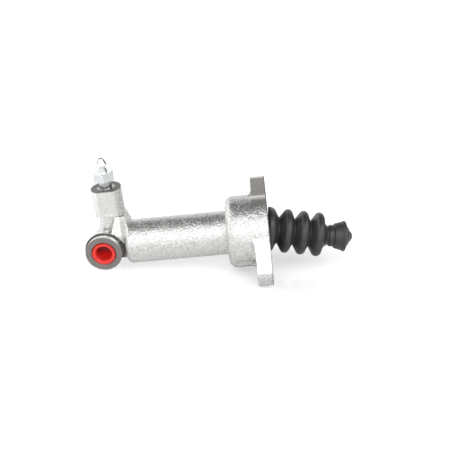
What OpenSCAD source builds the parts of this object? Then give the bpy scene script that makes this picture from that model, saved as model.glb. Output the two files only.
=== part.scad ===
// Hydraulic clutch slave cylinder, drawn in millimetres.
// Origin: centre of the flange's mounting face, on the cylinder's axis.
// +X runs along the cylinder to the push rod, +Z along the bleed screw, and the hose port faces -Y.

/* [Cylinder] */
// Outside diameter of the cast barrel
barrel_d = 25.8; // [22:0.1:34]
// Diameter of the bore
bore_d = 19.05; // [16:0.05:22.5]
// Distance from the mounting face to the barrel's closed end
barrel_end = 84.2; // [78:0.1:84.4]
// Thickness of the barrel's closed end
end_wall = 5; // [4:0.5:8]
// Rounding of the barrel's closed end
end_round = 3; // [1:0.5:5]
// Diameter of the boss behind the flange
boss_d = 42.2; // [37:0.2:46]
// Length of the boss from the mounting face
boss_len = 24.5; // [20:0.5:28]
// Rounding of the boss's rear edge
boss_round = 4.4; // [1:0.5:6]
// Rounding in the corner between boss and flange
boss_fillet = 3; // [1:0.5:4]

/* [Flange] */
// Thickness of the mounting flange
flange_t = 8.7; // [6:0.1:11]
// Diameter of the circle through the two bolt holes
bolt_circle = 55; // [54:0.5:70]
// Diameter of each bolt hole
bolt_hole_d = 8.5; // [6.5:0.1:9]
// Radius of each ear's round end
ear_r = 8; // [7.5:0.1:12]
// Angle of the ears from upright
ear_angle = 55; // [30:1:80]
// Diameter of the flat behind each ear for the bolt head
spot_d = 15.2; // [14:0.2:15.8]

/* [Bleed boss] */
// Distance of the bleed screw's axis behind the mounting face
bleed_x = 91; // [90:0.2:96]
// Diameter of the bleed boss
bleed_boss_d = 17.4; // [16:0.2:20]
// Height of the bleed boss's top above the cylinder's axis
bleed_top = 36; // [32:0.5:42]
// Height of the bleed boss itself
bleed_boss_h = 18; // [15:0.5:20]
// Distance of the cast flat from the bleed screw's axis
bleed_flat = 7.4; // [6.4:0.1:8]
// Diameter of the bleed screw's threaded hole
bleed_hole_d = 10; // [8:0.5:10]
// Width of the web between bleed boss and barrel
web_w = 10; // [8:0.5:14]

/* [Hose port] */
// Distance of the port's axis behind the mounting face
port_x = 96.5; // [95.8:0.1:104]
// Diameter of the port's collar
port_d = 21.2; // [20:0.1:21.4]
// Length of the port's collar
port_collar_l = 7; // [6.2:0.1:9]
// Distance of the port's face from the cylinder's axis
port_reach = 13.5; // [11:0.5:20]
// Diameter of the barrel behind the collar
port_neck_d = 17.6; // [15:0.2:18]
// Diameter of the port's entry bore
port_bore_d = 13.8; // [13.6:0.1:14.6]
// Depth of the port's entry bore
port_bore_l = 9; // [8.5:0.5:10]
// Diameter of the seal bore at the bottom of the port
seal_bore_d = 9.6; // [9.2:0.1:11]
// Depth of the port's face to the bottom of the seal bore
seal_bore_l = 15; // [13:0.5:16]
// Diameter of the drilled fluid passages
passage_d = 3; // [2:0.25:4]

/* [Wire clip] */
// Thickness of the clip's wire
clip_wire = 1.1; // [1:0.1:1.3]
// Distance of the clip behind the port's face
clip_depth = 4.2; // [3.6:0.1:4.6]
// Radius of the clip's arc, to the middle of the wire
clip_r = 10.9; // [10.8:0.1:11]
// Angle below level at which each leg turns in
clip_turn = 28; // [20:1:32]
// How far each turned-in end stands into the port's bore
clip_grip = 0.9; // [0.4:0.1:1]

/* [Shipping plug] */
// Diameter of the plug's rim
plug_rim_d = 13.3; // [12.6:0.1:13.5]
// Diameter of the plug's sleeve
plug_sleeve_d = 11; // [10.4:0.1:11.2]
// Diameter of the plug's hollow
plug_hollow_d = 9.4; // [8:0.1:9.6]
// Diameter of the plug's nose
plug_nose_d = 8.6; // [8:0.1:9]

/* [Bleed screw] */
// Width across the flats of the bleed screw's hexagon
bleed_af = 11; // [9:1:11]
// Height of the hexagon
bleed_hex_h = 5.3; // [4:0.1:7]
// Length of shank that shows under the hexagon
bleed_shank_h = 4.7; // [1.5:0.1:5]
// Diameter of the hose nipple's neck
nipple_d = 3.6; // [3.6:0.1:5]
// Diameter of the hose nipple's barb
barb_d = 6; // [5.4:0.1:8]
// Length of the hose nipple above the hexagon
nipple_l = 7.6; // [7:0.1:14]

// Bore of the bleed screw
bleed_bore_d = 1.6; // [1.2:0.1:2]
// Angle by which the hexagon is turned
hex_turn = 38; // [0:1:59]

/* [Piston] */
// Radial clearance of the piston in the bore
piston_fit = 0.05; // [0.02:0.01:0.1]
// Length of the piston's guided part
piston_l = 26; // [24:0.5:30]
// Distance of the piston's open end behind the mounting face at rest
piston_front = 15; // [15:0.5:17]
// Radius of the ball on the push rod
ball_r = 5.5; // [4.5:0.1:6]
// Radial clearance of the ball in its seat
ball_fit = 0.05; // [0.02:0.01:0.1]
// Diameter of the spring's wire
spring_wire = 1.4; // [1:0.1:1.6]
// Working turns of the spring
spring_turns = 6; // [4:1:7]

/* [Push rod and boot] */
// Diameter of the push rod
rod_d = 7.8; // [7:0.1:9]
// Length of the push rod from ball centre to tip
rod_l = 70.4; // [68:0.2:80]
// Droop of the push rod at rest
rod_droop = 8.3; // [0:0.1:10]
// Outside radius at the boot's folds
fold_r = 13; // [12:0.1:13.2]
// Outside radius at the boot's valleys
valley_r = 7.7; // [7:0.1:8]
// Thickness of the boot's wall
boot_wall = 1.3; // [1:0.1:1.5]
// Place of the boot's first fold before the mounting face
first_fold = -0.9; // [-1:0.1:1.5]
// Length of the slimmer shank of the rod, from the ball's centre
shank_l = 30; // [12:1:36]
// Length of the rod ahead of the rear end of the boot's neck
collar_l = 14.2; // [13:0.1:16]

/* [Hidden] */
$fn = 96;
bore_r = bore_d / 2;
bore_end = barrel_end - end_wall;
recess_r = fold_r + 1.2;
recess_l = 12;
lip_r = recess_r + 1.5;
ring_t = 1.2;
ring_r = bore_r + 1.1;
ring_x = piston_front - 0.3;
face_y = -port_reach;
bleed_low = bleed_top - bleed_boss_h;
seat_z = bleed_top - 11.5;
thread_r = bleed_hole_d / 2 - 0.05;
ball_x = piston_front + 6;
piston_r = bore_r - piston_fit;
piston_rear = piston_front + piston_l;
cup_l = 6;
cup_rear = piston_rear + cup_l;
seat_x = cup_rear + 1;
rod_r = rod_d / 2;
collar_s = rod_l - collar_l;
folds = 4;
fold_round = 2.5;
// The folds share out the way from the flange to the boot's neck on the rod, the first one with a longer flank
axis_drop = 0.35;
boot_slope = atan2(collar_s * sin(rod_droop) - axis_drop, collar_s * cos(rod_droop) - ball_x);
neck_r = 6;
neck_way = 5.6;
last_fold = collar_s - ball_x - neck_way - 0.65;
fold_pitch = (last_fold - first_fold) / (folds - 0.8);
first_flank = last_fold - (folds - 1.5) * fold_pitch - first_fold;

// The list of pieces, one solid or group each

cylinder_body();
piston();
primary_cup();
secondary_cup();
spring_seat();
piston_spring();
stop_ring();
push_rod();
rod_retainer();
dust_boot();
bleed_screw();
port_plug();
wire_clip();

// Turns a half profile of (distance along X, radius) into a solid on the cylinder's axis
module turned() {
    rotate([0, 90, 0]) rotate([0, 0, 90]) rotate_extrude() rotate([0, 0, 90]) mirror([0, 1]) children();
}

// A cylinder along +X from x0 to x1
module rod_x(x0, x1, r0, r1 = 0) {
    translate([x0, 0, 0]) rotate([0, 90, 0]) cylinder(h = x1 - x0, r1 = r0, r2 = r1 == 0 ? r0 : r1);
}

// A cylinder along Y from y0 to y1, on the port's axis
module port_y(y0, y1, r0, r1 = 0) {
    translate([-port_x, y0, 0]) rotate([-90, 0, 0]) cylinder(h = y1 - y0, r1 = r0, r2 = r1 == 0 ? r0 : r1);
}

// Carries a piece drawn along +X from the ball's centre to the rod's resting slope
module on_rod() {
    translate([-ball_x, 0, 0]) rotate([0, rod_droop, 0]) children();
}

// Places a piece at both bolt holes
module at_bolts() {
    for (side = [0, 180]) {
        rotate([side - ear_angle, 0, 0]) translate([0, 0, bolt_circle / 2]) children();
    }
}

// Outline of the flange, drawn with the ears along Y; its middle stays just inside the boss
module flange_outline() {
    reach = bolt_circle / 2;
    mid_r = boss_d / 2 - 0.6;
    lean = acos((mid_r - ear_r) / reach);
    circle(r = mid_r);
    for (side = [0, 180]) {
        rotate(side) translate([0, reach]) circle(r = ear_r);
        rotate(side) polygon([
            [-mid_r * sin(lean), mid_r * cos(lean)],
            [mid_r * sin(lean), mid_r * cos(lean)],
            [ear_r * sin(lean), reach + ear_r * cos(lean)],
            [-ear_r * sin(lean), reach + ear_r * cos(lean)]
        ]);
    }
}

// The flange's outline as a slab from x0 to x1
module flange_slab(x0, x1) {
    translate([x0, 0, 0]) rotate([-ear_angle, 0, 0]) rotate([0, 90, 0]) rotate([0, 0, 90])
        linear_extrude(x1 - x0) flange_outline();
}

// The flange, with the rounded corner towards the boss kept inside its outline
module flange() {
    centre_r = boss_d / 2 + boss_fillet;
    flange_slab(-flange_t, 0);
    intersection() {
        turned() difference() {
            translate([-flange_t - boss_fillet, boss_d / 2 - 1]) square([boss_fillet + 0.4, boss_fillet + 1]);
            translate([-flange_t - boss_fillet, centre_r]) circle(r = boss_fillet + 0.05);
        }
        flange_slab(-flange_t - boss_fillet - 1, -flange_t + 1);
    }
}

// Half profile of barrel and boss, as (distance behind the mounting face, radius)
module barrel_profile() {
    barrel_r = barrel_d / 2;
    boss_r = boss_d / 2;
    // The boss ends just behind the machined face
    edge = 0.5;
    union() {
        translate([-barrel_end + end_round, 0]) square([barrel_end - end_round - edge, barrel_r]);
        translate([-barrel_end, 0]) square([end_round + 1, barrel_r - end_round]);
        translate([-barrel_end + end_round, barrel_r - end_round]) circle(r = end_round);
        translate([-boss_len + boss_round, 0]) square([boss_len - boss_round - edge, boss_r]);
        translate([-boss_len, 0]) square([boss_round + 1, boss_r - boss_round]);
        translate([-boss_len + boss_round, boss_r - boss_round]) circle(r = boss_round);
    }
}

// Bleed boss with its cast flat, narrowing to a neck over the port
module bleed_tower() {
    translate([-bleed_x, 0, 0]) {
        difference() {
            union() {
                translate([0, 0, bleed_low + 1]) cylinder(h = bleed_boss_h - 1, d = bleed_boss_d);
                translate([0, 0, bleed_low]) cylinder(h = 1, d1 = bleed_boss_d - 2, d2 = bleed_boss_d);
            }
            translate([-bleed_boss_d, -bleed_flat - bleed_boss_d, bleed_low + 3.6])
                cube([2 * bleed_boss_d, bleed_boss_d, bleed_boss_h]);
            // Underside, rising towards the front
            translate([0, 0, bleed_low]) rotate([-17, 0, 0]) translate([-bleed_boss_d, -2 * bleed_boss_d, -8])
                cube([2 * bleed_boss_d, 2 * bleed_boss_d, 8]);
        }
        translate([-0.4, -2, bleed_low + 3]) rotate([0, 195, 0])
            cylinder(h = bleed_low + 1.5, r1 = 5.2, r2 = 3.6);
    }
}

// Web that ties the bleed boss to the barrel's closed end, spreading towards the port
module web() {
    foot_w = port_neck_d + 0.6;
    intersection() {
        translate([0, foot_w, 0]) rotate([90, 0, 0]) linear_extrude(2 * foot_w) polygon([
            [-bleed_x + 3, bleed_low + 1],
            [-bleed_x + bleed_boss_d / 2 - 0.4, bleed_low + 1],
            [-barrel_end + 3.2, barrel_d / 2 - 0.6],
            [-barrel_end + 3.2, 0],
            [-bleed_x - 3, 0],
            [-bleed_x - 0.5, port_neck_d / 2]
        ]);
        translate([-bleed_x - 10, 0, 0]) rotate([90, 0, 90]) linear_extrude(30) polygon([
            [-web_w / 2, bleed_low + 2], [web_w / 2, bleed_low + 2],
            [foot_w / 2, port_neck_d / 2 - 0.8], [foot_w / 2, -1], [-foot_w / 2, -1],
            [-foot_w / 2, port_neck_d / 2 - 0.8]
        ]);
    }
}

// Collar, neck and rounded back of the hose port
module port_solid() {
    translate([-port_x, 0, 0]) rotate([-90, 0, 0]) rotate_extrude() {
        polygon([
            [0, face_y], [port_d / 2 - 0.3, face_y], [port_d / 2, face_y + 0.3],
            [port_d / 2, face_y + port_collar_l], [0, face_y + port_collar_l]
        ]);
        translate([0, face_y + 1]) square([port_neck_d / 2, 3 - face_y]);
        intersection() {
            translate([0, 4]) circle(d = port_neck_d);
            square([port_neck_d, port_neck_d / 2 + 3.7]);
        }
    }
    rod_x(-port_x, -barrel_end + 3, port_neck_d / 2 + 0.5);
}

// Groove and windows for the wire clip
module clip_cut() {
    outer_r = clip_r + clip_wire / 2 + 0.2;
    translate([0, face_y + clip_depth, 0]) {
        difference() {
            port_y(-clip_wire / 2 - 0.15, clip_wire / 2 + 0.15, outer_r);
            port_y(-clip_wire, clip_wire, clip_r - clip_wire / 2 - 0.1);
        }
        translate([-port_x, 0, -clip_r * sin(clip_turn)])
            cube([2 * outer_r, clip_wire + 0.6, clip_wire + 0.6], center = true);
    }
}

module cylinder_body() {
    color([0.78, 0.79, 0.8]) difference() {
        union() {
            rotate([90 - ear_angle, 0, 0]) turned() barrel_profile();
            flange();
            bleed_tower();
            web();
            port_solid();
        }
        // Bore, its mouth and the groove of the stop ring
        rod_x(-bore_end, 1, bore_r);
        rod_x(-recess_l - 0.8, -recess_l + 0.01, bore_r, bore_r + 0.8);
        rod_x(-ring_x, -ring_x + ring_t + 0.2, ring_r + 0.1);
        // Recess of the boot and the groove of its lip
        rod_x(-recess_l, 1, recess_r);
        rod_x(-recess_l + 1, -recess_l + 4, lip_r);
        rod_x(-1, 0.01, recess_r, recess_r + 1);
        // Bolt holes and the flats behind them
        at_bolts() rod_x(-flange_t - 1, 1, bolt_hole_d / 2);
        at_bolts() rod_x(-flange_t - boss_fillet - 8, -flange_t, spot_d / 2);
        // Hose port, its mouth and its fluid passages
        port_y(face_y - 1, face_y + port_bore_l, port_bore_d / 2);
        port_y(face_y - 0.01, face_y + 0.5, port_bore_d / 2 + 0.5, port_bore_d / 2);
        port_y(face_y, face_y + seal_bore_l, seal_bore_d / 2);
        rod_x(-port_x, -bore_end + 1, passage_d / 2);
        clip_cut();
        // Threaded hole, countersink and seat of the bleed screw
        translate([-bleed_x, 0, seat_z]) cylinder(h = bleed_top - seat_z + 1, d = bleed_hole_d);
        translate([-bleed_x, 0, seat_z - 3.5]) cylinder(h = 3.51, d1 = passage_d, d2 = bleed_hole_d - 2);
        translate([-bleed_x, 0, 0]) cylinder(h = seat_z - 3, d = passage_d - 0.5);
        translate([-bleed_x, 0, bleed_top - 0.8])
            cylinder(h = 0.81, d1 = bleed_hole_d, d2 = bleed_hole_d + 1.6);
    }
}

module piston() {
    color([0.72, 0.73, 0.75]) difference() {
        union() {
            rod_x(-piston_rear, -piston_front, piston_r);
            rod_x(-piston_rear - 2.5, -piston_rear + 1, 3.5);
        }
        // Seat, entry and mouth for the push rod's ball
        translate([-ball_x, 0, 0]) sphere(r = ball_r + ball_fit);
        rod_x(-ball_x, -piston_front + 1, ball_r + 0.25);
        rod_x(-piston_front - 1, -piston_front + 0.01, ball_r + 0.25, ball_r + 1.25);
        // Groove of the rod retainer
        rod_x(-ball_x + 3.3, -ball_x + 4.5, ball_r + 1.1);
        // Groove of the secondary cup
        difference() {
            rod_x(-piston_rear + 8, -piston_rear + 12, bore_r + 1);
            rod_x(-piston_rear + 7, -piston_rear + 13, bore_r - 2.6);
        }
        // Rounded land towards the primary cup
        difference() {
            rod_x(-piston_rear - 0.01, -piston_rear + 0.8, piston_r + 1);
            rod_x(-piston_rear - 0.01, -piston_rear + 0.8, piston_r - 0.8, piston_r);
        }
    }
}

// Pressure seal: a cup with its lip towards the fluid
module primary_cup() {
    lip = 1.6;
    color([0.12, 0.12, 0.13]) difference() {
        rod_x(-cup_rear, -piston_rear, bore_r - 0.03);
        rod_x(-cup_rear - 1, -piston_rear + 1, 3.6);
        rod_x(-cup_rear - 0.01, -piston_rear - 2.5, bore_r - lip, bore_r - lip - 1.4);
    }
}

// Second seal in the piston's groove
module secondary_cup() {
    x0 = -piston_rear + 8.1;
    color([0.12, 0.12, 0.13]) difference() {
        rod_x(x0, x0 + 3.8, bore_r - 0.03);
        rod_x(x0 - 1, x0 + 5, bore_r - 2.55);
        difference() {
            rod_x(x0 + 2.2, x0 + 5, bore_r - 0.75);
            rod_x(x0 + 2.2, x0 + 5, bore_r - 1.75);
        }
    }
}

// Pressed seat between the spring and the pressure seal
module spring_seat() {
    dish_r = bore_r - 3.4;
    color([0.8, 0.76, 0.62]) difference() {
        union() {
            rod_x(-piston_rear - 3.6, -piston_rear - 2.6, 5);
            rod_x(-seat_x, -piston_rear - 3.5, 4);
            rod_x(-seat_x, -seat_x + 1, dish_r + 1.6);
        }
        rod_x(-seat_x - 1, -piston_rear - 3.6, 3);
        rod_x(-seat_x - 1, -piston_rear, 1.2);
    }
}

// Helix of half turns, each a flat half ring tilted to meet the next
module piston_spring() {
    coil_r = bore_r - 3.4 + 0.8;
    x0 = -bore_end + spring_wire / 2 + 0.05;
    span = bore_end - seat_x - spring_wire - 0.1;
    rise = span / spring_turns / 2;
    tilt = atan(rise / (2 * coil_r));
    arm = coil_r / cos(tilt);
    color([0.55, 0.56, 0.58]) {
        for (i = [0 : spring_turns - 1]) {
            translate([x0 + (2 * i + 0.5) * rise, 0, 0]) rotate([0, 0, tilt]) half_turn(arm, 0);
            translate([x0 + (2 * i + 1.5) * rise, 0, 0]) rotate([0, 0, -tilt]) half_turn(arm, 180);
        }
        // Each joint of two half turns lies inside a small bead
        for (i = [1 : 2 * spring_turns - 1]) {
            translate([x0 + i * rise, (i % 2 == 0 ? 1 : -1) * coil_r, 0])
                sphere(d = spring_wire + 0.05, $fn = 24);
        }
    }
}

module half_turn(arm, turn) {
    rotate([turn, 0, 0]) rotate([0, 90, 0]) rotate([0, 0, 90])
        rotate_extrude(angle = 180, $fn = 48) translate([arm, 0]) circle(d = spring_wire, $fn = 24);
}

// Open ring with two eyes that stops the piston
module stop_ring() {
    color([0.35, 0.36, 0.38]) translate([-ring_x + 0.1, 0, 0]) rotate([0, 90, 0]) linear_extrude(ring_t)
        difference() {
            union() {
                difference() {
                    circle(r = ring_r);
                    circle(r = bore_r - 1);
                    translate([0, ring_r]) square([7, 6], center = true);
                }
                for (side = [-1, 1]) {
                    translate([side * 4.6, bore_r - 1.8]) circle(r = 1.7, $fn = 48);
                }
            }
            for (side = [-1, 1]) {
                translate([side * 4.6, bore_r - 1.8]) circle(r = 0.8, $fn = 32);
            }
        }
}

module push_rod() {
    groove = collar_s + 1.6;
    color([0.25, 0.25, 0.27]) on_rod() difference() {
        union() {
            sphere(r = ball_r);
            rod_x(2, shank_l, rod_r - 0.7);
            rod_x(shank_l - 0.5, shank_l + 2, rod_r - 0.7, rod_r);
            rod_x(shank_l + 2, rod_l - rod_r, rod_r);
            translate([rod_l - rod_r, 0, 0]) sphere(r = rod_r);
        }
        // Groove that holds the boot's neck
        difference() {
            rod_x(groove - 0.1, groove + 2.1, rod_r + 1);
            rod_x(groove - 1, groove + 3, rod_r - 0.6);
        }
        // Flat behind the ball
        translate([-ball_r - 5, -10, -10]) cube([5.6, 20, 20]);
    }
}

// Split washer in the piston that keeps the ball in its seat
module rod_retainer() {
    color([0.5, 0.51, 0.53]) translate([-ball_x + 3.4, 0, 0]) rotate([0, 90, 0]) linear_extrude(1)
        difference() {
            circle(r = ball_r + 1);
            circle(r = ball_r - 0.9);
            translate([0, ball_r]) square([3, 6], center = true);
        }
}

// Lean of a flank that runs from a fold's round crest down to a valley at that distance
function flank_lean(reach) = let (rise = fold_r - fold_round - valley_r)
    atan2(rise, reach) + asin(fold_round / sqrt(rise * rise + reach * reach));

// Outline of one fold between its two valleys, shrunk by the wall for the inside
module fold_2d(shrink, rear, front) {
    centre = fold_r - fold_round;
    r = fold_round - shrink;
    floor_r = valley_r - shrink;
    a = flank_lean(rear);
    b = flank_lean(front);
    translate([0, centre]) circle(r = r, $fn = 64);
    polygon([
        [-rear - 0.02, 0], [-rear - 0.02, floor_r], [-r * sin(a), centre + r * cos(a)],
        [r * sin(b), centre + r * cos(b)], [front + 0.02, floor_r], [front + 0.02, 0]
    ]);
}

// Half profile of the folded part, solid or as the space inside
module folds_2d(shrink) {
    centre = fold_r - fold_round;
    r = fold_round - shrink;
    half = fold_pitch / 2;
    translate([first_fold, 0]) fold_2d(shrink, half, first_flank);
    for (i = [1 : folds - 1]) {
        translate([last_fold - (folds - 1 - i) * fold_pitch, 0]) fold_2d(shrink, half, half);
    }
    // Way back to the sleeve
    back = 4.6 + shrink * 0.6;
    translate([-back, 0]) square([back + first_fold, centre + r]);
    // Way down to the neck
    polygon([
        [last_fold, 0], [last_fold, centre + r], [last_fold + r * 0.83, centre + r * 0.56],
        [last_fold + neck_way, neck_r - shrink * 1.2], [last_fold + neck_way + 0.6, neck_r - shrink * 1.2],
        [last_fold + neck_way + 0.6, 0]
    ]);
}

module dust_boot() {
    hole_r = rod_r + 0.05;
    groove = collar_s + 1.6;
    color([0.07, 0.07, 0.075]) {
        difference() {
            union() {
                // Lip and sleeve in the flange's recess
                rod_x(-recess_l + 1.1, -recess_l + 3.9, lip_r - 0.1);
                rod_x(-recess_l + 1.1, -1.5, fold_r - 0.1);
                // Folded part
                translate([0, 0, -axis_drop]) rotate([0, boot_slope, 0]) turned() folds_2d(0);
                // Neck and flared collar on the rod
                on_rod() {
                    rod_x(collar_s - 1.2, collar_s + 4, neck_r);
                    rod_x(collar_s + 3.6, collar_s + 9, neck_r + 0.6, neck_r + 2.6);
                    rod_x(collar_s + 9, collar_s + 10.6, neck_r + 2.9);
                }
            }
            rod_x(-recess_l, -2.5, fold_r - 0.1 - boot_wall);
            translate([0, 0, -axis_drop]) rotate([0, boot_slope, 0]) turned() difference() {
                folds_2d(boot_wall);
                translate([last_fold + neck_way - 0.65, 0]) square([2 * neck_way, 2 * neck_r]);
            }
            on_rod() {
                rod_x(collar_s - 8, collar_s + 20, hole_r);
                rod_x(collar_s + 9.4, collar_s + 11, hole_r, hole_r + 2.5);
            }
        }
        // Bead in the rod's groove
        on_rod() difference() {
            rod_x(groove, groove + 2, rod_r + 0.3);
            rod_x(groove - 1, groove + 3, rod_r - 0.55);
        }
    }
}

module bleed_screw() {
    hex_z = bleed_top + bleed_shank_h;
    tip_z = hex_z + bleed_hex_h + nipple_l;
    barb_z = tip_z - 4;
    color([0.7, 0.74, 0.8]) translate([-bleed_x, 0, 0]) difference() {
        union() {
            translate([0, 0, seat_z - 2.6]) cylinder(h = 2.6, r1 = 1.7, r2 = 3.7);
            translate([0, 0, seat_z]) cylinder(h = 1.2, r = 3.7);
            translate([0, 0, seat_z + 1.1]) cylinder(h = 1, r1 = 3.9, r2 = thread_r);
            translate([0, 0, seat_z + 2]) cylinder(h = bleed_top - seat_z - 2, r = thread_r);
            translate([0, 0, bleed_top - 0.5]) cylinder(h = bleed_shank_h + 1, r = 3.7);
            bleed_hex(hex_z);
            translate([0, 0, hex_z]) cylinder(h = tip_z - hex_z - 3, d = nipple_d);
            translate([0, 0, hex_z + bleed_hex_h - 0.1]) cylinder(h = 2.1, d1 = nipple_d + 1.6, d2 = nipple_d + 0.5);
            translate([0, 0, barb_z - 0.6]) cylinder(h = 0.7, d1 = nipple_d, d2 = barb_d);
            translate([0, 0, barb_z]) cylinder(h = 1, d = barb_d);
            translate([0, 0, barb_z + 1]) cylinder(h = 3, d1 = barb_d, d2 = nipple_d - 0.9);
        }
        translate([0, 0, seat_z - 0.3]) cylinder(h = tip_z - seat_z + 1, d = bleed_bore_d, $fn = 32);
        translate([-bleed_hole_d / 2, 0, seat_z + 0.5]) rotate([0, 90, 0])
            cylinder(h = bleed_hole_d, d = bleed_bore_d, $fn = 32);
    }
}

// Hexagon with its corners turned down
module bleed_hex(z) {
    corner_r = bleed_af / 2 / cos(30);
    translate([0, 0, z]) rotate(hex_turn) intersection() {
        cylinder(h = bleed_hex_h, r = corner_r, $fn = 6);
        union() {
            cylinder(h = bleed_hex_h - 0.3, r = corner_r + 0.1);
            translate([0, 0, bleed_hex_h - 0.3]) cylinder(h = 0.3, r1 = corner_r + 0.1, r2 = corner_r - 0.5);
        }
    }
}

module port_plug() {
    color([0.85, 0.06, 0.08]) difference() {
        union() {
            port_y(face_y - 0.2, face_y + 1.2, plug_rim_d / 2);
            port_y(face_y + 1.1, face_y + port_bore_l - 0.5, plug_sleeve_d / 2);
            port_y(face_y + port_bore_l - 0.6, face_y + seal_bore_l - 1, plug_nose_d / 2, plug_nose_d / 2 - 0.4);
        }
        port_y(face_y - 1, face_y + port_bore_l - 2, plug_hollow_d / 2);
        port_y(face_y - 0.21, face_y + 0.3, plug_hollow_d / 2 + 0.5, plug_hollow_d / 2);
    }
}

// Sprung wire round the port's collar, with both ends turned in through the windows
module wire_clip() {
    end_x = clip_r * cos(clip_turn);
    end_z = -clip_r * sin(clip_turn);
    inner_x = sqrt(port_bore_d * port_bore_d / 4 - end_z * end_z) - clip_grip;
    color([0.3, 0.3, 0.32]) translate([-port_x, face_y + clip_depth, 0]) {
        rotate([90, 0, 0]) rotate([0, 0, -clip_turn])
            rotate_extrude(angle = 180 + 2 * clip_turn) translate([clip_r, 0]) circle(d = clip_wire, $fn = 32);
        for (side = [-1, 1]) {
            translate([side * end_x, 0, end_z]) {
                sphere(d = clip_wire + 0.06, $fn = 32);
                rotate([0, -90 * side, 0]) cylinder(h = end_x - inner_x, d = clip_wire, $fn = 32);
            }
        }
    }
}
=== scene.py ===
"""Dresses the clutch slave cylinder: finishes on its solids, the bent rubber boot, the stage and the camera.

All places are in metres in the part's own frame: X along the cylinder to the push rod, Z along the bleed screw,
the hose port towards -Y, and the origin at the centre of the flange's face.
"""

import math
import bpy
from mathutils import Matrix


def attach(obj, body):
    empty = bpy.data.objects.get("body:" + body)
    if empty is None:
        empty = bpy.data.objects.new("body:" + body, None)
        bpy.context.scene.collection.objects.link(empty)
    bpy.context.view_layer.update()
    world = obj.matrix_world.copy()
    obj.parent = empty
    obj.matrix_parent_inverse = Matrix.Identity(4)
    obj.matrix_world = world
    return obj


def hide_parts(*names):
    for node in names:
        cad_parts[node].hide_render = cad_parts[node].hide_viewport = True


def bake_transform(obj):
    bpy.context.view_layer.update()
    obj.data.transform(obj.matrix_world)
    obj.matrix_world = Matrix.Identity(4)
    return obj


bl_info = {
    "name": "Clutch slave cylinder",
    "version": (1, 0, 0),
    "blender": (4, 5, 0),
    "location": "View3D > Sidebar > Cylinder",
    "description": "Finishes, boot and stage for a hydraulic clutch slave cylinder",
    "category": "Object",
}

import bpy
import numpy as np
from mathutils import Matrix

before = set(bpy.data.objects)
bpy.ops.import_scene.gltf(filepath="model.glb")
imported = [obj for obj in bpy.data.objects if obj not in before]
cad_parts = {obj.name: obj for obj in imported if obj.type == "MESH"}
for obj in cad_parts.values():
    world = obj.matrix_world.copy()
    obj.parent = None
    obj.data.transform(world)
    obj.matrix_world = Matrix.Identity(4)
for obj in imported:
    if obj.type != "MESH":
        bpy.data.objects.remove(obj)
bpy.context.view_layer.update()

COLOUR = {"subtype": "COLOR", "size": 3, "min": 0.0, "max": 1.0}
LENGTH = {"subtype": "DISTANCE", "unit": "LENGTH"}


# ---------------------------------------------------------------- shader maths


class Value:
    """A socket in a node tree. Sums, differences, products and quotients of it add Math nodes."""

    def __init__(self, shade, socket):
        self.shade = shade
        self.socket = socket

    def _maths(self, operation, a, b=None):
        inputs = [a] if b is None else [a, b]
        return self.shade.node("ShaderNodeMath", {"operation": operation}, inputs)

    def __add__(self, other):
        return self._maths("ADD", self, other)

    def __radd__(self, other):
        return self._maths("ADD", other, self)

    def __sub__(self, other):
        return self._maths("SUBTRACT", self, other)

    def __rsub__(self, other):
        return self._maths("SUBTRACT", other, self)

    def __mul__(self, other):
        return self._maths("MULTIPLY", self, other)

    def __rmul__(self, other):
        return self._maths("MULTIPLY", other, self)

    def __truediv__(self, other):
        return self._maths("DIVIDE", self, other)

    def __pow__(self, other):
        return self._maths("POWER", self, other)

    def __neg__(self):
        return self._maths("MULTIPLY", self, -1.0)

    def sine(self):
        return self._maths("SINE", self)

    def root(self):
        return self._maths("SQRT", self)

    def size(self):
        return self._maths("ABSOLUTE", self)

    def at_most(self, other):
        return self._maths("MINIMUM", self, other)

    def at_least(self, other):
        return self._maths("MAXIMUM", self, other)

    def step(self, low, high):
        """0 below low and 1 above high, with a smooth rise between them; falls if low is above high."""
        return self.shade.node(
            "ShaderNodeMapRange",
            {"interpolation_type": "SMOOTHSTEP", "clamp": True},
            {"Value": self, "From Min": low, "From Max": high, "To Min": 0.0, "To Max": 1.0},
            "Result",
        )


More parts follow.
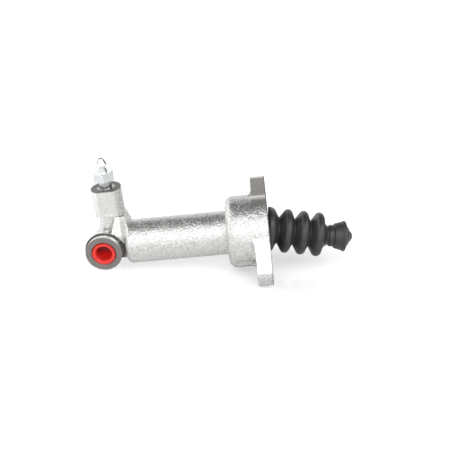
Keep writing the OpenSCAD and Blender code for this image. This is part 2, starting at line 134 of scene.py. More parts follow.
class Shade:
    """A node tree being written."""

    def __init__(self, owner):
        owner.use_nodes = True
        self.tree = owner.node_tree
        self.tree.nodes.clear()

    def node(self, kind, settings=None, inputs=None, output=0):
        """Adds a node: its settings first, then the values or links of its inputs, by name or in order."""
        made = self.tree.nodes.new(kind)
        for key, value in (settings or {}).items():
            if key == "stops":
                ramp = made.color_ramp
                while len(ramp.elements) < len(value):
                    ramp.elements.new(0.5)
                for element, (place, colour) in zip(ramp.elements, value):
                    element.position = place
                    element.color = colour
            else:
                setattr(made, key, value)
        pairs = inputs.items() if isinstance(inputs, dict) else enumerate(inputs or [])
        for key, value in pairs:
            self.feed(made.inputs[key], value)
        return Value(self, made.outputs[output]) if made.outputs else made

    def feed(self, socket, value):
        if isinstance(value, Value):
            self.tree.links.new(value.socket, socket)
        else:
            socket.default_value = value

    def place(self):
        """The point on the piece, in metres in the part's own frame."""
        return self.node("ShaderNodeTexCoord", output="Object")

    def parts(self, vector):
        """The three numbers of a vector."""
        first = self.node("ShaderNodeSeparateXYZ", inputs=[vector])
        return [Value(self, s) for s in first.socket.node.outputs]

    def grain(self, place, scale, detail=3.0, roughness=0.55, distortion=0.0):
        """Cloudy noise between 0 and 1, with scale blobs to the metre."""
        return self.node(
            "ShaderNodeTexNoise",
            {},
            {"Vector": place, "Scale": scale, "Detail": detail, "Roughness": roughness, "Distortion": distortion},
            "Fac",
        )

    def pits(self, place, scale, smooth=0.6):
        """Distance to the nearest of scattered points: small at the middle of each cell."""
        return self.node(
            "ShaderNodeTexVoronoi",
            {"feature": "SMOOTH_F1"},
            {"Vector": place, "Scale": scale, "Smoothness": smooth},
            "Distance",
        )

    def mix(self, share, a, b):
        """Colour a where share is 0 and b where it is 1."""
        made = self.tree.nodes.new("ShaderNodeMix")
        made.data_type = "RGBA"
        for socket, value in ((made.inputs[0], share), (made.inputs[6], a), (made.inputs[7], b)):
            if not isinstance(value, (Value, float)) and len(value) == 3:
                value = (*value, 1.0)
            self.feed(socket, value)
        return Value(self, made.outputs[2])

    def bump(self, height, distance, strength=1.0, normal=None):
        """A normal bent by height, given from 0 to 1, over distance in metres."""
        inputs = {"Height": height, "Distance": distance, "Strength": strength}
        if normal is not None:
            inputs["Normal"] = normal
        return self.node("ShaderNodeBump", {}, inputs, "Normal")

    def surface(self, **inputs):
        """A Principled surface and the material output."""
        named = {key.replace("_", " "): value for key, value in inputs.items()}
        for key, value in list(named.items()):
            if not isinstance(value, (Value, float, int)) and len(value) == 3:
                named[key] = (*value, 1.0)
        shader = self.node("ShaderNodeBsdfPrincipled", {}, named)
        self.node("ShaderNodeOutputMaterial", {}, {"Surface": shader})
        return shader


def new_material(name):
    return bpy.data.materials.new(name)


def dress(node, material):
    """Puts a material on every slot of a solid of the part."""
    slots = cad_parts[node].material_slots
    if not slots:
        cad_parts[node].data.materials.append(material)
    for slot in slots:
        slot.material = material


# ---------------------------------------------------------------- surfaces


def skin(name, points, material, closed_u=False, closed_v=False, caps=False):
    """A mesh through a grid of points: rows run along u and columns along v, joined at the ends where closed.

    With caps, the first and the last row are each filled with one flat face.
    """
    rows, columns = points.shape[:2]
    index = np.arange(rows * columns).reshape(rows, columns)
    u_next = np.roll(index, -1, axis=0) if closed_u else index[1:]
    u_here = index if closed_u else index[:-1]
    if closed_v:
        quads = np.stack([u_here, u_next, np.roll(u_next, -1, axis=1), np.roll(u_here, -1, axis=1)], axis=-1)
    else:
        quads = np.stack([u_here[:, :-1], u_next[:, :-1], u_next[:, 1:], u_here[:, 1:]], axis=-1)
    quads = quads.reshape(-1, 4)
    mesh = bpy.data.meshes.new(name)
    mesh.vertices.add(rows * columns)
    mesh.vertices.foreach_set("co", points.reshape(-1).astype(np.float32))
    corners = [quads.reshape(-1)]
    starts = [np.arange(0, quads.size, 4)]
    if caps:
        corners += [index[0], index[-1][::-1]]
        starts.append(np.array([quads.size, quads.size + columns]))
    corners = np.concatenate(corners)
    starts = np.concatenate(starts)
    mesh.loops.add(len(corners))
    mesh.loops.foreach_set("vertex_index", corners.astype(np.int32))
    mesh.polygons.add(len(starts))
    mesh.polygons.foreach_set("loop_start", starts.astype(np.int32))
    mesh.polygons.foreach_set("use_smooth", np.arange(len(starts)) < len(quads))
    mesh.update(calc_edges=True)
    mesh.validate()
    mesh.materials.append(material)
    piece = bpy.data.objects.new(name, mesh)
    bpy.context.scene.collection.objects.link(piece)
    return piece


def arc(centre_x, centre_r, radius, start, end, count):
    """Points of a circle in a half profile: (along + radius cos a, out + radius sin a), a in degrees."""
    a = np.radians(np.linspace(start, end, count))
    return np.stack([centre_x + radius * np.cos(a), centre_r + radius * np.sin(a)], axis=1)


def evened(profile, spacing):
    """The same line with its points about spacing apart, kept where it bends."""
    pieces = []
    for a, b in zip(profile[:-1], profile[1:]):
        steps = max(1, int(math.ceil(np.linalg.norm(b - a) / spacing)))
        t = np.linspace(0, 1, steps, endpoint=False)[:, None]
        pieces.append(a + (b - a) * t)
    return np.concatenate(pieces + [profile[-1:]])


# ---------------------------------------------------------------- settings


class CastingLook(bpy.types.PropertyGroup):
    rough_colour: bpy.props.FloatVectorProperty(
        name="Cast skin", description="Colour of the rough plated skin", default=(0.775, 0.785, 0.765), **COLOUR)
    machined_colour: bpy.props.FloatVectorProperty(
        name="Machined faces", description="Colour of the turned and drilled faces", default=(0.265, 0.245, 0.235),
        **COLOUR)
    grain_size: bpy.props.FloatProperty(
        name="Grain size", description="Size of the sand grains in the cast skin", default=0.00095, **LENGTH)
    grain_depth: bpy.props.FloatProperty(
        name="Grain depth", description="Depth of the cast grain", default=0.00031, **LENGTH)
    port_face: bpy.props.FloatProperty(
        name="Port face", description="Distance of the machined port face from the axis",
        default=0.0133, **LENGTH)


class BootShape(bpy.types.PropertyGroup):
    fold_radius: bpy.props.FloatProperty(
        name="Fold radius", description="Outside radius at the folds", default=0.0130, **LENGTH)
    valley_radius: bpy.props.FloatProperty(
        name="Valley radius", description="Outside radius between the folds", default=0.0078, **LENGTH)
    pitch: bpy.props.FloatProperty(
        name="Pitch", description="Distance between folds", default=0.00936, **LENGTH)
    crest: bpy.props.FloatProperty(
        name="Crest", description="Radius of a fold's round crest", default=0.0026, **LENGTH)
    first_fold: bpy.props.FloatProperty(
        name="First fold", description="Place of the first fold", default=0.0007, **LENGTH)
    last_fold: bpy.props.FloatProperty(
        name="Last fold", description="Place of the last fold", default=0.02895, **LENGTH)
    rod_start: bpy.props.FloatProperty(
        name="Rod start", description="From the rod's ball to the start of the boot's line", default=0.0208,
        **LENGTH)
    wall: bpy.props.FloatProperty(
        name="Wall", description="Thickness of the rubber", default=0.0012, **LENGTH)
    rod_droop: bpy.props.FloatProperty(
        name="Droop", description="Droop of the push rod at rest", default=math.radians(8.3), subtype="ANGLE")
    slope: bpy.props.FloatProperty(
        name="Slope", description="Slope of the folded part", default=math.radians(12.64), subtype="ANGLE")
    colour: bpy.props.FloatVectorProperty(
        name="Rubber", description="Colour of the rubber", default=(0.037, 0.037, 0.038), **COLOUR)


class ClipShape(bpy.types.PropertyGroup):
    wire: bpy.props.FloatProperty(
        name="Wire", description="Thickness of the clip's wire", default=0.0009, **LENGTH)
    radius: bpy.props.FloatProperty(
        name="Radius", description="Radius of the clip's arc", default=0.0109, **LENGTH)
    turn: bpy.props.FloatProperty(
        name="Turn", description="Angle below level at which the ends turn in", default=math.radians(28),
        subtype="ANGLE")
    inner_end: bpy.props.FloatProperty(
        name="Inner end", description="Distance of the turned-in ends from the port's axis", default=0.0038,
        **LENGTH)
    port_x: bpy.props.FloatProperty(
        name="Port place", description="Place of the port along the cylinder", default=-0.0965, **LENGTH)
    port_y: bpy.props.FloatProperty(
        name="Depth", description="Place of the clip along the port", default=-0.0093, **LENGTH)


class ScrewLook(bpy.types.PropertyGroup):
    colour: bpy.props.FloatVectorProperty(
        name="Zinc", description="Colour of the bright zinc", default=(0.70, 0.725, 0.735), **COLOUR)
    roughness: bpy.props.FloatProperty(
        name="Roughness", description="Roughness of the zinc", default=0.14, min=0.05, max=1.0)


class PlugLook(bpy.types.PropertyGroup):
    colour: bpy.props.FloatVectorProperty(
        name="Plug", description="Colour of the red plastic", default=(0.84, 0.04, 0.03), **COLOUR)
    roughness: bpy.props.FloatProperty(
        name="Roughness", description="Roughness of the plastic", default=0.38, min=0.05, max=1.0)


class SteelLook(bpy.types.PropertyGroup):
    rod_colour: bpy.props.FloatVectorProperty(
        name="Rod", description="Colour of the phosphated rod", default=(0.15, 0.15, 0.155), **COLOUR)
    wire_colour: bpy.props.FloatVectorProperty(
        name="Wire", description="Colour of the spring wire", default=(0.10, 0.095, 0.095), **COLOUR)


class StageSetup(bpy.types.PropertyGroup):
    distance: bpy.props.FloatProperty(
        name="Distance", description="From the camera to the middle of the view", default=0.43836, **LENGTH)
    focal_length: bpy.props.FloatProperty(
        name="Focal length", description="Lens of the camera in millimetres", default=59.26, min=20, max=200)
    floor_tilt: bpy.props.FloatProperty(
        name="Floor tilt", description="How far the floor turns away from the camera", default=math.radians(25),
        subtype="ANGLE")
    ambient: bpy.props.FloatProperty(
        name="Ambient", description="Strength of the light all round", default=1.0, min=0.0, max=3.0)


SETTINGS = {
    "casting_look": CastingLook,
    "boot_shape": BootShape,
    "clip_shape": ClipShape,
    "screw_look": ScrewLook,
    "plug_look": PlugLook,
    "steel_look": SteelLook,
    "stage_setup": StageSetup,
}


# ---------------------------------------------------------------- pieces


class FinishCasting(bpy.types.Operator):
    """Gives the casting its rough bright skin and its dull turned faces"""

    bl_idname = "clutch.finish_casting"
    bl_label = "Finish casting"

    def execute(self, context):
        look = context.scene.casting_look
        material = new_material("plated casting")
        shade = Shade(material)
        place = shade.place()
        x, y, z = shade.parts(place)
        # Machined faces: the port's face and bores, the bleed boss's top, the flange's face and the bores
        port_out = ((x + 0.0965) * (x + 0.0965) + z * z).root()
        port = (-y).step(look.port_face - 0.00015, look.port_face) * port_out.step(0.0112, 0.0110)
        port_bore = port_out.step(0.0076, 0.0074) * (-y).step(-0.004, -0.0035)
        tower = z.step(0.03560, 0.03585)
        face = x.step(-0.0007, -0.0003)
        axis_out = (y * y + z * z).root()
        bore = x.step(-0.090, -0.0895) * axis_out.step(0.0098, 0.0096)
        machined = port.at_least(port_bore).at_least(tower).at_least(face).at_least(bore)
        # The collar's side is turned and bright
        collar = port_out.step(0.0101, 0.0103) * (-y).step(0.0060, 0.0066) * port_out.step(0.0112, 0.0110)
        # Cast skin: coarse swellings, sand grains and scattered pits
        swell = shade.grain(place, 240.0, 2.0)
        sand = shade.grain(place, 1.0 / look.grain_size, 4.0, 0.65)
        fine = shade.grain(place, 2.6 / look.grain_size, 2.0, 0.7)
        pits = shade.pits(place, 0.62 / look.grain_size)
        worn = swell.step(0.42, 0.62)
        # The bleed boss and the web beside it came smoother out of the mould than the barrel
        calm = x.step(-0.0835, -0.0855)
        height = sand * (0.45 + worn * 0.5) + fine * 0.3 + pits.step(0.05, 0.5) * 0.5 + swell * 0.25
        # Turning marks round each machined axis
        rings = (port_out * 9000.0).sine() * 0.5 + 0.5
        dull = shade.grain(place, 900.0, 3.0, 0.7)
        cast = shade.mix((sand.step(0.38, 0.58) + calm * 0.5).at_most(1.0),
                         tuple(c * 0.76 for c in look.rough_colour), look.rough_colour)
        cast = shade.mix(pits.step(0.21, 0.05) * fine.step(0.35, 0.6) * 0.25, cast, tuple(c * 0.30 for c in look.rough_colour))
        # The flange's rim, lower down, is ground smooth and painted near white as a highlight
        rim = x.step(-0.0094, -0.0088) * z.step(0.004, -0.002) * z.step(-0.0134, -0.0124) * (-y).step(0.010, 0.014)
        cast = shade.mix(rim, cast, (0.93, 0.935, 0.925))
        # Painted shade: below it the ear's round end, where it turns downward, is painted greyer, with darker
        # painted shade along its edges
        end = x.step(-0.0094, -0.0088) * z.step(-0.0120, -0.0138)
        edge_shade = x.step(-0.0083, -0.0086).at_least(x.step(-0.0006, -0.0003)).at_least(
            z.step(-0.0126, -0.0130) * z.step(-0.0138, -0.0134))
        cast = shade.mix(end * (edge_shade * 0.38 + 0.12), cast, tuple(c * 0.35 for c in look.rough_colour))
        # Painted shade in the corner between the web and the barrel; the boss's upper shoulder is painted bright as
        # a highlight
        corner = x.step(-0.0862, -0.0846) * x.step(-0.0816, -0.0832) * z.step(-0.0045, 0.0) * (-y).step(0.004, 0.007)
        cast = shade.mix(corner * 0.55, cast, tuple(c * 0.45 for c in look.rough_colour))
        # Painted highlight: the upper shoulder's colour is painted near white
        shoulder = x.step(-0.0293, -0.0312) * x.step(-0.0400, -0.0380) * axis_out.step(0.0150, 0.0170) * (z - y).step(0.008, 0.014)
        cast = shade.mix(shoulder * 0.85, cast, (0.95, 0.955, 0.945))
        # The rim above the axis is ground smooth too, and its colour is painted a little darker and browner as shade
        top_rim = x.step(-0.0094, -0.0088) * z.step(0.0185, 0.0215)
        cast = shade.mix(top_rim * 0.95, cast, tuple(c * t for c, t in zip(look.rough_colour, (0.92, 0.875, 0.865))))
        cast = shade.mix(collar * 0.8, cast, look.rough_colour)
        turned = shade.mix(dull.step(0.3, 0.7), tuple(c * 0.85 for c in look.machined_colour),
                           tuple(c * 1.18 for c in look.machined_colour))
        colour = shade.mix(machined, cast, turned)
        roughness = (1.0 - machined) * (0.21 + sand * 0.12 - collar * 0.12) + machined * (0.40 + dull * 0.15)
        cast_normal = shade.bump(height * (1.0 - machined.at_least(collar).at_least(rim).at_least(top_rim).at_least(calm * 0.7).at_least(shoulder * 0.7)), look.grain_depth, 0.9)
        normal = shade.bump((rings * 0.4 + dull * 0.6) * machined, 0.00003, 0.5, cast_normal)
        shade.surface(Base_Color=colour, Metallic=0.82, Roughness=roughness, Normal=normal)
        dress("cylinder_body", material)
        return {"FINISHED"}


class FinishBleedScrew(bpy.types.Operator):
    """Gives the bleed screw its bright bluish zinc"""

    bl_idname = "clutch.finish_bleed_screw"
    bl_label = "Finish bleed screw"

    def execute(self, context):
        look = context.scene.screw_look
        material = new_material("bright zinc")
        shade = Shade(material)
        place = shade.place()
        cloud = shade.grain(place, 420.0, 3.0, 0.6)
        fine = shade.grain(place, 2400.0, 2.0, 0.6)
        colour = shade.mix(cloud.step(0.35, 0.7), look.colour, tuple(c * 0.88 for c in look.colour))
        # Painted highlight: the hexagon's top is painted near white; painted shade: the shank below it is painted
        # darker
        x, y, z = shade.parts(place)
        out = ((x + 0.091) * (x + 0.091) + y * y).root()
        colour = shade.mix(z.step(0.04585, 0.04595) * out.step(0.0026, 0.0028), colour, (0.98, 0.99, 1.0))
        colour = shade.mix(z.step(0.0408, 0.0404), colour, tuple(c * 0.62 for c in look.colour))
        shade.surface(
            Base_Color=colour, Metallic=1.0, Roughness=look.roughness + fine * 0.08,
            Normal=shade.bump(fine, 0.00002, 0.3))
        dress("bleed_screw", material)
        return {"FINISHED"}


def boot_folds(shape):
    """Places of the four folds and of the three valleys between them, along the boot's line."""
    last = shape.last_fold
    folds = np.array([shape.first_fold, last - 2 * shape.pitch, last - shape.pitch, last])
    return folds, folds[1:] - shape.pitch / 2 - 0.0004


def flank_lean(shape, reach):
    """Angle from upright at which a flank leaves its round crest to run down to a valley at that distance."""
    rise = shape.fold_radius - shape.crest - shape.valley_radius
    return math.degrees(math.atan2(rise, reach) + math.asin(shape.crest / math.hypot(rise, reach)))


def boot_outline(shape):
    """Half profile of the outside from the first fold to the collar's end, in metres, as (along, out).

    Each fold is a round crest between two straight flanks that meet their neighbours in a small round valley.
    """
    folds, valleys = boot_folds(shape)
    centre = shape.fold_radius - shape.crest
    line = [np.array([[0.0001, shape.fold_radius]])]
    for i, fold in enumerate(folds):
        rear = flank_lean(shape, fold - valleys[i - 1]) if i else 0.0
        front = flank_lean(shape, valleys[i] - fold) if i < 3 else 60.0
        line.append(arc(fold, centre, shape.crest, 90 + rear, 90 - front, 17))
        if i < 3:
            line.append(arc(valleys[i], shape.valley_radius + 0.0003, 0.00035, 215, 325, 5))
    # Neck with its ring, flared collar and lip, as distances ahead of the last fold
    neck = np.array([
        [2.6, 9.9], [3.3, 8.1], [4.2, 6.8], [5.1, 5.95], [5.8, 5.6], [6.2, 5.65], [6.5, 6.15], [6.9, 6.4],
        [8.9, 6.4], [9.2, 6.2], [9.4, 6.75], [9.7, 7.25], [10.4, 7.5], [12.4, 8.05], [14.2, 8.6], [14.8, 8.95],
        [15.3, 9.1], [15.7, 9.05], [16.1, 8.75], [16.35, 8.2], [16.5, 7.4], [16.8, 6.6], [17.4, 5.9], [18.0, 5.2], [18.3, 4.7]]) / 1000
    neck[:, 0] += folds[-1]
    return np.concatenate(line + [neck])


def eased(value, start, end):
    """0 before start and 1 after end, with a smooth rise between them."""
    t = np.clip((value - start) / (end - start), 0, 1)
    return t * t * (3 - 2 * t)


def boot_grid(shape, profile, turns=144):
    """Carries a half profile round a line that bends from the cylinder's axis to the push rod's.

    The line runs level in the flange, then down the folds' slope, then along the rod, and each ring stands
    square to it: a point is line(s) + r (cos t sideways + sin t upright).
    """
    along, radius = profile[:, 0], profile[:, 1]
    to_folds = eased(along, -0.0030, 0.0055)
    to_rod = eased(along, 0.0310, 0.0355)
    reach = along + shape.rod_start
    x = along * (1 - to_folds) + along * math.cos(shape.slope) * to_folds
    z = -(0.00035 + along * math.sin(shape.slope)) * to_folds
    lean = shape.slope * to_folds
    x = x * (1 - to_rod) + (reach * math.cos(shape.rod_droop) - 0.021) * to_rod
    z = z * (1 - to_rod) - reach * math.sin(shape.rod_droop) * to_rod
    lean = lean * (1 - to_rod) + shape.rod_droop * to_rod
    t = np.linspace(0, 2 * math.pi, turns, endpoint=False)
    points = np.empty((len(along), turns, 3))
    points[..., 0] = x[:, None] + np.outer(radius * np.sin(lean), np.sin(t))
    points[..., 1] = np.outer(radius, np.cos(t))
    points[..., 2] = z[:, None] + np.outer(radius * np.cos(lean), np.sin(t))
    return points


class BuildBoot(bpy.types.Operator):
    """Builds the folded rubber boot that bends from the flange to the push rod"""

    bl_idname = "clutch.build_boot"
    bl_label = "Build boot"

    def rubber(self, look):
        material = new_material("boot rubber")
        shade = Shade(material)
        place = shade.place()
        cloud = shade.grain(place, 170.0, 3.0, 0.6)
        fine = shade.grain(place, 1500.0, 3.0, 0.7)
        dust = shade.grain(place, 520.0, 4.0, 0.7)
        colour = shade.mix(cloud.step(0.3, 0.7), tuple(c * 0.85 for c in look.colour),
                           tuple(c * 1.35 for c in look.colour))
        colour = shade.mix(dust.step(0.60, 0.75) * 0.30, colour, (0.13, 0.13, 0.13))
        shade.surface(
            Base_Color=colour, Roughness=0.27 + cloud * 0.16, Specular_IOR_Level=0.5,
            Normal=shade.bump(fine, 0.00010, 0.35))
        return material

    def execute(self, context):
        shape = context.scene.boot_shape
        material = self.rubber(shape)
        outside = boot_outline(shape)
        # The inside is the same line drawn in by the wall
        step = np.gradient(outside, axis=0)
        step /= np.linalg.norm(step, axis=1)[:, None]
        inside = outside + np.stack([step[:, 1], -step[:, 0]], axis=1) * shape.wall
        bore = 0.00398
        neck = boot_folds(shape)[0][-1] + 0.0048
        inside = inside[(inside[:, 0] < neck) & (outside[:, 0] < neck)]
        inside[:, 1] = np.clip(inside[:, 1], bore + 0.0006, shape.fold_radius - shape.wall)
        # Lip and sleeve, held in the flange's recess round the first fold
        lip = np.array([
            [-0.0008, 0.0141], [-0.0078, 0.0141], [-0.0081, 0.0144], [-0.0081, 0.0155], [-0.0084, 0.0156],
            [-0.0106, 0.0156], [-0.0109, 0.0153], [-0.0109, 0.0134], [-0.0106, 0.01315], [-0.0010, 0.01315],
            [-0.0006, 0.0134], [-0.0006, 0.0138]])
        nose = np.array([[outside[-1, 0] + 0.0001, bore], [neck + 0.0014, bore]])
        folds = np.concatenate([inside, nose[::-1], outside[::-1]])
        pieces = []
        for name, ring in (("boot_lip", lip), ("boot_folds", folds)):
            ring = evened(np.vstack([ring, ring[:1]]), 0.0006)[:-1]
            piece = skin(name, boot_grid(shape, ring)[::-1], material, closed_u=True, closed_v=True)
            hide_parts("dust_boot")
            pieces.append(piece)
        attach(pieces[0], "housing")
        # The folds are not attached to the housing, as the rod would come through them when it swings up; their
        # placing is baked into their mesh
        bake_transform(pieces[1])
        return {"FINISHED"}


class BuildClip(bpy.types.Operator):
    """Builds the wire clip round the port's collar, one leg sprung outwards before it turns in"""

    bl_idname = "clutch.build_clip"
    bl_label = "Build wire clip"

    def steel(self, look):
        material = new_material("clip wire")
        shade = Shade(material)
        cloud = shade.grain(shade.place(), 700.0, 3.0, 0.6)
        tone = shade.mix(cloud.step(0.35, 0.7), tuple(look.wire_colour), (0.12, 0.10, 0.09))
        shade.surface(Base_Color=tone, Metallic=1.0, Roughness=0.16 + cloud * 0.1)
        return material

    def execute(self, context):
        clip = context.scene.clip_shape
        turned = clip.turn
        a = np.linspace(math.pi + turned, -turned, 181)
        # The right-hand leg leaves the arc at a kink and comes back to it where it turns in
        leg = np.degrees(a)
        sprung = np.interp(leg, [-28, -22, -12, 8, 28, 33, 36], [0, 0.6, 0.8, 0.75, 0.6, 0.1, 0]) / 1000
        arch = np.stack([(clip.radius + sprung) * np.cos(a), (clip.radius + sprung) * np.sin(a)], axis=1)
        inner = clip.inner_end
        path = np.concatenate([[[-inner, arch[0, 1]]], arch, [[inner, arch[-1, 1]]]])
        path = evened(path, 0.00018)
        for _ in range(3):
            path[1:-1] = (path[:-2] + 2 * path[1:-1] + path[2:]) / 4
        along = np.gradient(path, axis=0)
        along /= np.linalg.norm(along, axis=1)[:, None]
        t = np.linspace(0, 2 * math.pi, 20, endpoint=False)
        radius = clip.wire / 2
        points = np.empty((len(path), len(t), 3))
        points[..., 0] = clip.port_x + path[:, :1] - np.outer(along[:, 1], radius * np.cos(t))
        points[..., 1] = clip.port_y + radius * np.sin(t)
        points[..., 2] = path[:, 1:] + np.outer(along[:, 0], radius * np.cos(t))
        piece = skin("clip", points, self.steel(context.scene.steel_look), closed_v=True, caps=True)
        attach(piece, "housing")
        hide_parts("wire_clip")
        return {"FINISHED"}


class FinishRod(bpy.types.Operator):
    """Gives the push rod its dark phosphated steel"""

    bl_idname = "clutch.finish_rod"
    bl_label = "Finish push rod"

    def execute(self, context):
        look = context.scene.steel_look
        material = new_material("phosphated steel")
        shade = Shade(material)
        place = shade.place()
        cloud = shade.grain(place, 500.0, 3.0, 0.6)
        fine = shade.grain(place, 3000.0, 2.0, 0.6)
        colour = shade.mix(cloud.step(0.3, 0.7), tuple(c * 0.8 for c in look.rod_colour), look.rod_colour)
        shade.surface(
            Base_Color=colour, Metallic=0.55, Roughness=0.40 + cloud * 0.15, Normal=shade.bump(fine, 0.00003, 0.5))
        dress("push_rod", material)
        return {"FINISHED"}


class FinishPlug(bpy.types.Operator):
    """Gives the shipping plug its red plastic"""

    bl_idname = "clutch.finish_plug"
    bl_label = "Finish shipping plug"

    def execute(self, context):
        look = context.scene.plug_look
        material = new_material("red plastic")
        shade = Shade(material)
        place = shade.place()
        cloud = shade.grain(place, 300.0, 2.0, 0.5)
        x, y, z = shade.parts(place)
        out = ((x + 0.0965) * (x + 0.0965) + z * z).root()
        # Painted shade in the hollow: it is painted darker, and darkest under its upper wall
        hollow = out.step(0.00475, 0.0046) * y.step(-0.0134, -0.0128)
        depth_shade = (z + y * 0.5).step(-0.0085, -0.0035)
        colour = shade.mix(cloud.step(0.3, 0.7), look.colour, tuple(c * 0.88 for c in look.colour))
        inner = shade.mix(depth_shade, (0.86, 0.000, 0.002), (0.24, 0.003, 0.010))
        colour = shade.mix(hollow, colour, inner)
        shade.surface(
            Base_Color=colour, Roughness=look.roughness + cloud * 0.1, Subsurface_Weight=0.15,
            Subsurface_Scale=0.001, Normal=shade.bump(cloud, 0.00006, 0.4))
        dress("port_plug", material)
        return {"FINISHED"}


class FinishSmallSteel(bpy.types.Operator):
    """Gives the wire clip, the rings and the spring their steel"""

    bl_idname = "clutch.finish_small_steel"
    bl_label = "Finish clip, rings and spring"

    def execute(self, context):
        look = context.scene.steel_look
        for name, colour, nodes in (
            ("dark wire", look.wire_colour, ("wire_clip", "stop_ring")),
            ("spring wire", (0.42, 0.42, 0.43), ("piston_spring", "spring_seat", "rod_retainer")),
        ):
            material = new_material(name)
            shade = Shade(material)
            place = shade.place()
            cloud = shade.grain(place, 700.0, 3.0, 0.6)
            tone = shade.mix(cloud.step(0.35, 0.7), tuple(c * 0.75 for c in colour), tuple(colour))
            shade.surface(
                Base_Color=tone, Metallic=0.9, Roughness=0.30 + cloud * 0.2,
                Normal=shade.bump(cloud, 0.00003, 0.4))
            for node in nodes:
                dress(node, material)
        return {"FINISHED"}


class FinishInnerParts(bpy.types.Operator):
    """Gives the piston its turned alloy and the seals their black rubber"""

    bl_idname = "clutch.finish_inner_parts"
    bl_label = "Finish piston and seals"

    def execute(self, context):
        alloy = new_material("turned alloy")
        shade = Shade(alloy)
        place = shade.place()
        x = shade.parts(place)[0]
        rings = (x * 14000.0).sine() * 0.5 + 0.5
        cloud = shade.grain(place, 600.0, 2.0, 0.5)
        tone = shade.mix(cloud, (0.70, 0.71, 0.73), (0.80, 0.81, 0.83))
        shade.surface(Base_Color=tone, Metallic=1.0, Roughness=0.28 + cloud * 0.1,
                      Normal=shade.bump(rings, 0.00002, 0.4))
        dress("piston", alloy)
        seal = new_material("seal rubber")
        shade = Shade(seal)
        place = shade.place()
        cloud = shade.grain(place, 900.0, 3.0, 0.6)
        tone = shade.mix(cloud, (0.014, 0.014, 0.014), (0.03, 0.03, 0.03))
        shade.surface(Base_Color=tone, Roughness=0.5 + cloud * 0.2, Normal=shade.bump(cloud, 0.00005, 0.4))
        for node in ("primary_cup", "secondary_cup"):
            dress(node, seal)
        return {"FINISHED"}


# ---------------------------------------------------------------- stage

# The camera's sideways, upward and backward directions in the part's frame
VIEW = np.array([
    [0.99474097, 0.00268065, -0.10238762],
    [0.09040953, 0.44677638, 0.89006572],
    [0.04813032, -0.89464165, 0.44418441],
])
# How far the origin lies right of and above the middle of the view
AIM = (0.0252182, -0.0015115)


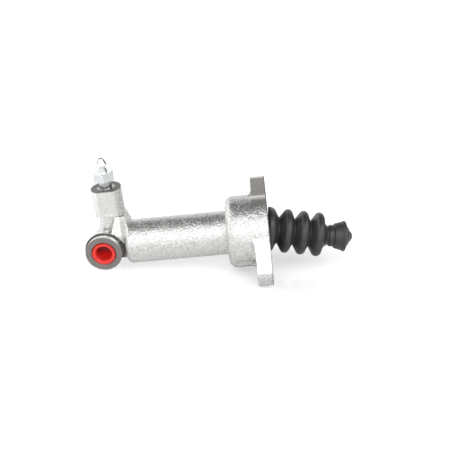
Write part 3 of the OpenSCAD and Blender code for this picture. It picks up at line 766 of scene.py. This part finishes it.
class BuildStage(bpy.types.Operator):
    """Sets out the floor, the light and the camera"""

    bl_idname = "clutch.build_stage"
    bl_label = "Build stage"

    def floor(self, setup, up):
        """A wide flat floor under the flange's lower ear, with a face at right angles to up."""
        ear = np.array([-0.0087, -0.0275 * math.sin(math.radians(55)), -0.0275 * math.cos(math.radians(55))])
        drop = ear @ up - 0.008 - 0.0002
        side = np.cross(up, VIEW[2])
        side /= np.linalg.norm(side)
        away = np.cross(side, up)
        u, v = np.meshgrid(np.linspace(-4, 4, 9), np.linspace(-4, 4, 9), indexing="ij")
        points = up * drop + u[..., None] * side + v[..., None] * away
        material = new_material("stage floor")
        shade = Shade(material)
        x, y, z = shade.parts(shade.place())
        far = (x * x + y * y).root().step(0.30, 0.90)
        white = shade.node("ShaderNodeBsdfPrincipled", {}, {
            "Base Color": (0.90, 0.90, 0.90, 1), "Roughness": 0.10, "Specular IOR Level": 0.35})
        glow = shade.node("ShaderNodeEmission", {}, {
            "Color": shade.mix(far, (0.304, 0.304, 0.304), (1, 1, 1)), "Strength": 1.15})
        both = shade.node("ShaderNodeAddShader", {}, [white, glow])
        # The far floor runs out to plain white; what the metal sees of the floor is brighter on the left
        left = shade.node("ShaderNodeEmission", {}, {
            "Color": shade.mix(x.step(-0.12, -0.22), (0, 0, 0), (1, 1, 1)), "Strength": 0.45})
        side = shade.node("ShaderNodeAddShader", {}, [white, left])
        seen = shade.node("ShaderNodeLightPath", output="Is Camera Ray")
        mixed = shade.node("ShaderNodeMixShader", {}, [seen, side, both])
        shade.node("ShaderNodeOutputMaterial", {}, {"Surface": mixed})
        floor = skin("stage_floor", points, material)

    def world(self, setup, up):
        """Bright all round, with a darker patch overhead that the curved metal shows as a band."""
        world = bpy.data.worlds.new("studio")
        bpy.context.scene.world = world
        shade = Shade(world)
        way = shade.node("ShaderNodeTexCoord", output="Generated")

        def towards(vector):
            return shade.node("ShaderNodeVectorMath", {"operation": "DOT_PRODUCT"},
                              [way, tuple(float(v) for v in vector)], "Value")

        level = VIEW[2] - up * (VIEW[2] @ up)
        level /= np.linalg.norm(level)

        def at(angle):
            a = math.radians(angle)
            return level * math.cos(a) + up * math.sin(a)

        right = np.cross(up, level)
        side = level * math.cos(math.radians(62)) + right * math.sin(math.radians(62))
        dark = towards(at(107)).step(0.725, 0.86)
        bright = towards(at(38)).step(0.76, 0.97)
        left = at(125) * 0.45 - right * 0.9
        left = towards(left / np.linalg.norm(left)).step(0.75, 0.95)
        spot = towards(side * math.cos(math.radians(36)) + up * math.sin(math.radians(36))).step(0.90, 0.98)
        strength = 1.0 - dark * 0.97 + bright * 0.9 + spot * 1.6 + left * 1.0
        # Unlit corners of the room behind the part, at both sides
        for sideways, rise, low, high in ((-112, 2, 0.93, 0.97), (118, 18, 0.86, 0.94)):
            corner = right * math.sin(math.radians(sideways)) + level * math.cos(math.radians(sideways))
            corner = corner * math.cos(math.radians(rise)) + up * math.sin(math.radians(rise))
            strength = strength * (1.0 - towards(corner).step(low, high) * 0.85)
        lit = shade.node("ShaderNodeBackground", {}, {"Color": (1, 1, 1, 1), "Strength": strength * setup.ambient})
        plain = shade.node("ShaderNodeBackground", {}, {"Color": (1, 1, 1, 1), "Strength": 1.0})
        seen = shade.node("ShaderNodeLightPath", output="Is Camera Ray")
        mixed = shade.node("ShaderNodeMixShader", {}, [seen, lit, plain])
        shade.node("ShaderNodeOutputWorld", {}, {"Surface": mixed})

    def camera(self, setup):
        data = bpy.data.cameras.new("camera")
        data.lens = setup.focal_length
        data.sensor_width = 36.0
        data.clip_start = 0.01
        data.clip_end = 50.0
        eye = VIEW.T @ np.array([-AIM[0], -AIM[1], setup.distance])
        turn = np.eye(4)
        turn[:3, :3] = VIEW.T
        turn[:3, 3] = eye
        camera = bpy.data.objects.new("camera", data)
        bpy.context.scene.collection.objects.link(camera)
        camera.matrix_world = Matrix([list(row) for row in turn])
        bpy.context.scene.camera = camera

    def execute(self, context):
        setup = context.scene.stage_setup
        scene = context.scene
        scene.view_settings.view_transform = "Standard"
        tilt = setup.floor_tilt
        up = VIEW[1] * math.cos(tilt) + VIEW[2] * math.sin(tilt)
        self.floor(setup, up)
        self.world(setup, up)
        self.camera(setup)
        return {"FINISHED"}


OPERATORS = (
    BuildStage, FinishCasting, FinishBleedScrew, FinishPlug, FinishSmallSteel, FinishRod, FinishInnerParts,
    BuildBoot, BuildClip,
)


class CylinderPanel(bpy.types.Panel):
    """Lists the settings and the steps"""

    bl_idname = "VIEW3D_PT_clutch_cylinder"
    bl_label = "Clutch slave cylinder"
    bl_space_type = "VIEW_3D"
    bl_region_type = "UI"
    bl_category = "Cylinder"

    def draw(self, context):
        for name, group in SETTINGS.items():
            box = self.layout.box()
            box.label(text=name.replace("_", " ").capitalize())
            for key in group.__annotations__:
                box.prop(getattr(context.scene, name), key)
        for operator in OPERATORS:
            self.layout.operator(operator.bl_idname)


def register():
    for name, group in SETTINGS.items():
        bpy.utils.register_class(group)
        setattr(bpy.types.Scene, name, bpy.props.PointerProperty(type=group))
    for operator in OPERATORS:
        bpy.utils.register_class(operator)
    bpy.utils.register_class(CylinderPanel)


def unregister():
    bpy.utils.unregister_class(CylinderPanel)
    for operator in reversed(OPERATORS):
        bpy.utils.unregister_class(operator)
    for name, group in reversed(list(SETTINGS.items())):
        delattr(bpy.types.Scene, name)
        bpy.utils.unregister_class(group)


def main():
    register()
    for operator in OPERATORS:
        getattr(bpy.ops.clutch, operator.bl_idname.split(".")[1])()


if __name__ == "__main__":
    main()
